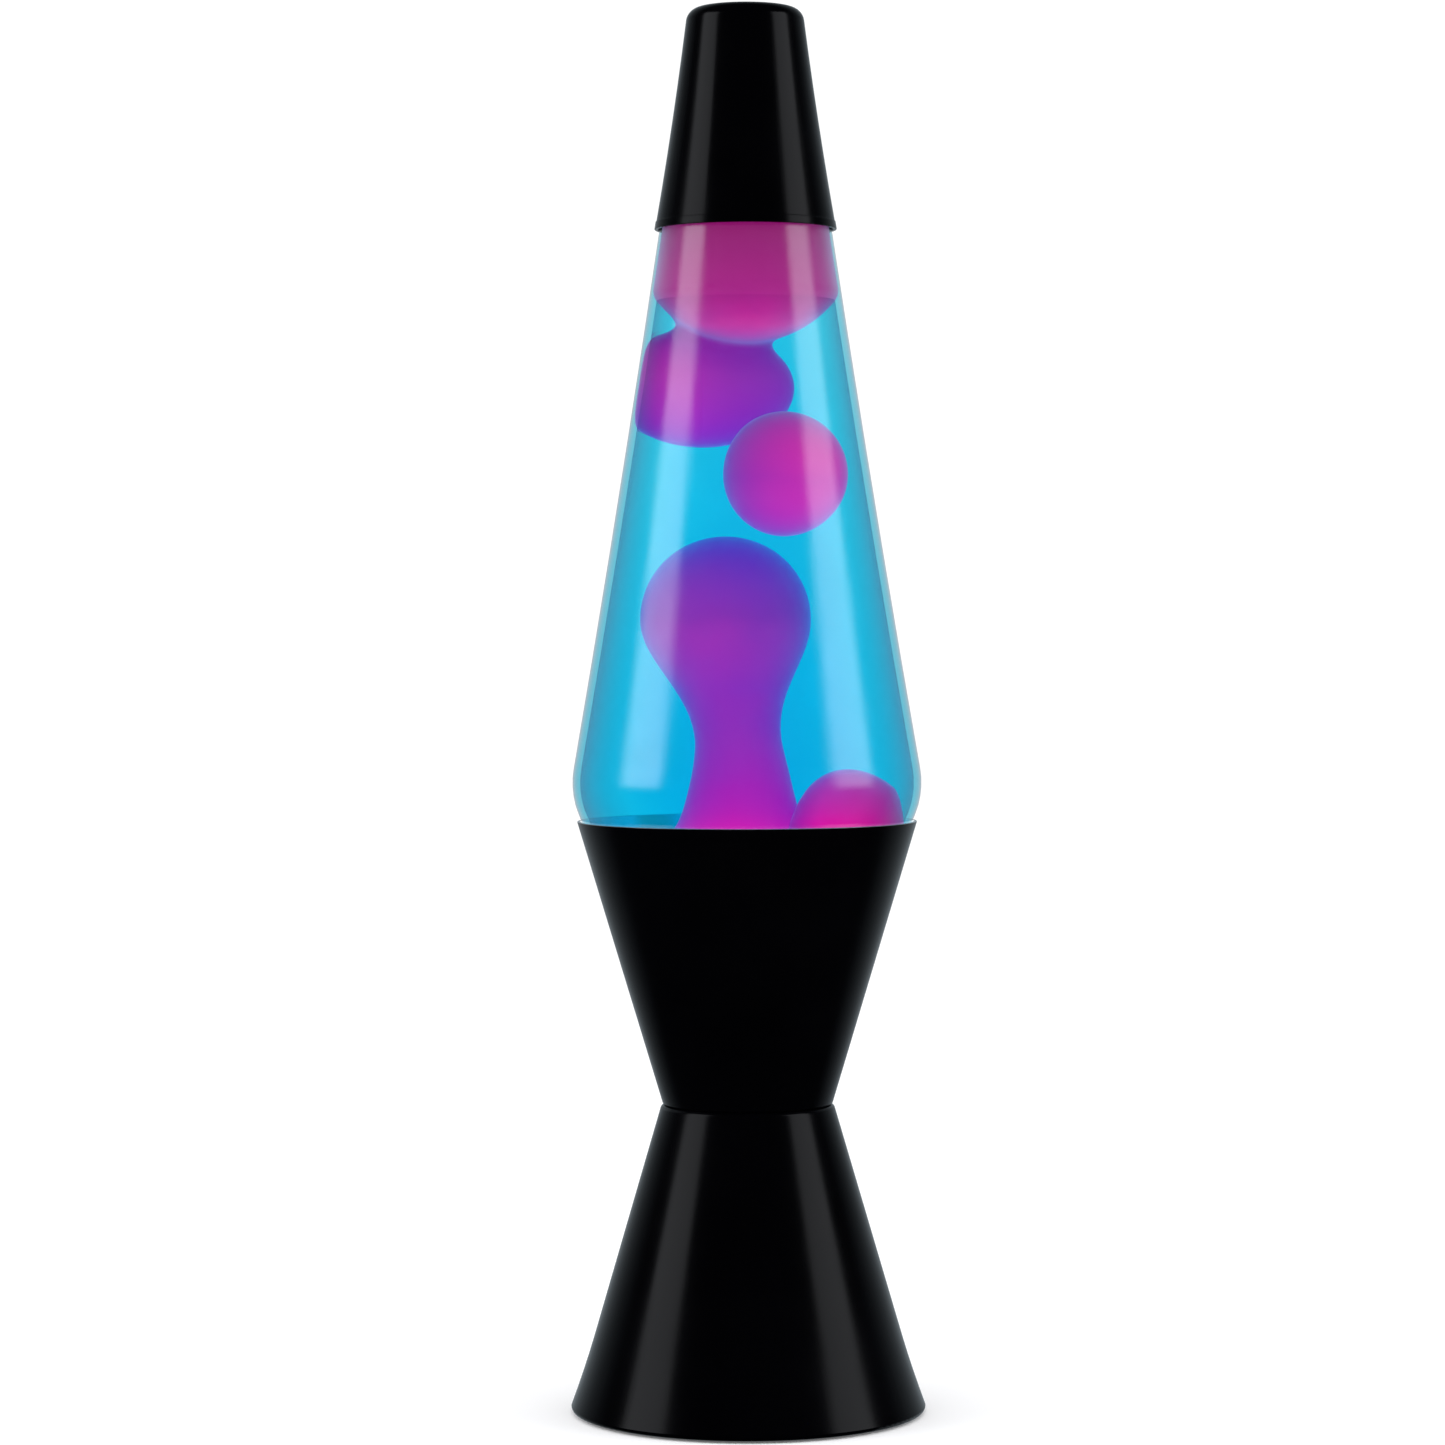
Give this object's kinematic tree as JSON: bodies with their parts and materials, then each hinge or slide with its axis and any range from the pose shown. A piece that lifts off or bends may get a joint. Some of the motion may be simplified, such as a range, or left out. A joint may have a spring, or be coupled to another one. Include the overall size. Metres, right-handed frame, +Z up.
{
  "type": "lava lamp",
  "caption": "Glossy black hourglass lava lamp: liquid globe with floating wax in a waisted metal base, under a lift-off cap, heated by a small screw-in lamp.",
  "frame": {"origin": "on the floor under the middle of the foot", "axes": "+Z up the lamp's own axis, -Y towards the viewer, cord hole at +Y"},
  "size_m": [0.0928, 0.0928, 0.3683],
  "materials": {
    "black_gloss_paint": "gloss",
    "bracket_steel": "satin",
    "rivet_aluminium": "satin",
    "porcelain": "gloss",
    "socket_brass": "satin",
    "plated_steel": "satin",
    "black_rubber": "matte",
    "cover_plastic": "matte",
    "bulb_brass": "satin",
    "black_glass": "gloss",
    "solder": "satin",
    "bulb_glass": "gloss",
    "nickel_wire": "satin",
    "filament_wire": "satin",
    "clear_glass": "gloss",
    "liner_plastic": "matte",
    "tinplate": "polished",
    "coil_steel": "satin",
    "blue_liquid": "gloss",
    "magenta_wax": "satin"
  },
  "bodies": {
    "base": {"foot": "black_gloss_paint", "cup": "black_gloss_paint", "waist_rivets": "rivet_aluminium", "socket_bracket": "bracket_steel", "lampholder": "porcelain", "threaded_nipple": "plated_steel", "nipple_nut": "plated_steel", "lock_washer": "plated_steel", "screw_shell": "socket_brass", "centre_contact": "socket_brass", "terminal_screws": "socket_brass", "cord_grommet": "black_rubber", "bottom_cover": "cover_plastic", "cover_screws": "plated_steel", "rubber_feet": "black_rubber"},
    "bulb": {"bulb_screw_cap": "bulb_brass", "bulb_insulator": "black_glass", "bulb_tip": "solder", "bulb_glass": "bulb_glass", "bulb_stem": "bulb_glass", "bulb_lead_wires": "nickel_wire", "bulb_filament": "filament_wire"},
    "globe": {"globe_glass": "clear_glass", "crown_liner": "liner_plastic", "crown_closure": "tinplate", "heat_coil": "coil_steel", "dyed_water": "blue_liquid", "wax_column": "magenta_wax", "wax_pool": "magenta_wax", "wax_top_mass": "magenta_wax", "wax_upper_blob": "magenta_wax"},
    "free_wax": {"wax_ball": "magenta_wax"},
    "cap": {"cap": "black_gloss_paint"}
  },
  "joints": [
    {"name": "globe_lift", "type": "slide", "parent": "base", "child": "globe", "axis": [0, 0, 1], "range_m": [0, 0.06]},
    {"name": "cap_lift", "type": "slide", "parent": "globe", "child": "cap", "axis": [0, 0, 1], "range_m": [0, 0.06]},
    {"name": "bulb_out", "type": "slide", "parent": "base", "child": "bulb", "axis": [0, 0, 1], "range_m": [0, 0.01]},
    {"name": "ball_drift", "type": "slide", "parent": "globe", "child": "free_wax", "axis": [0, 0, 1], "range_m": [-0.003, 0.005], "deforming": ["dyed_water"]}
  ]
}
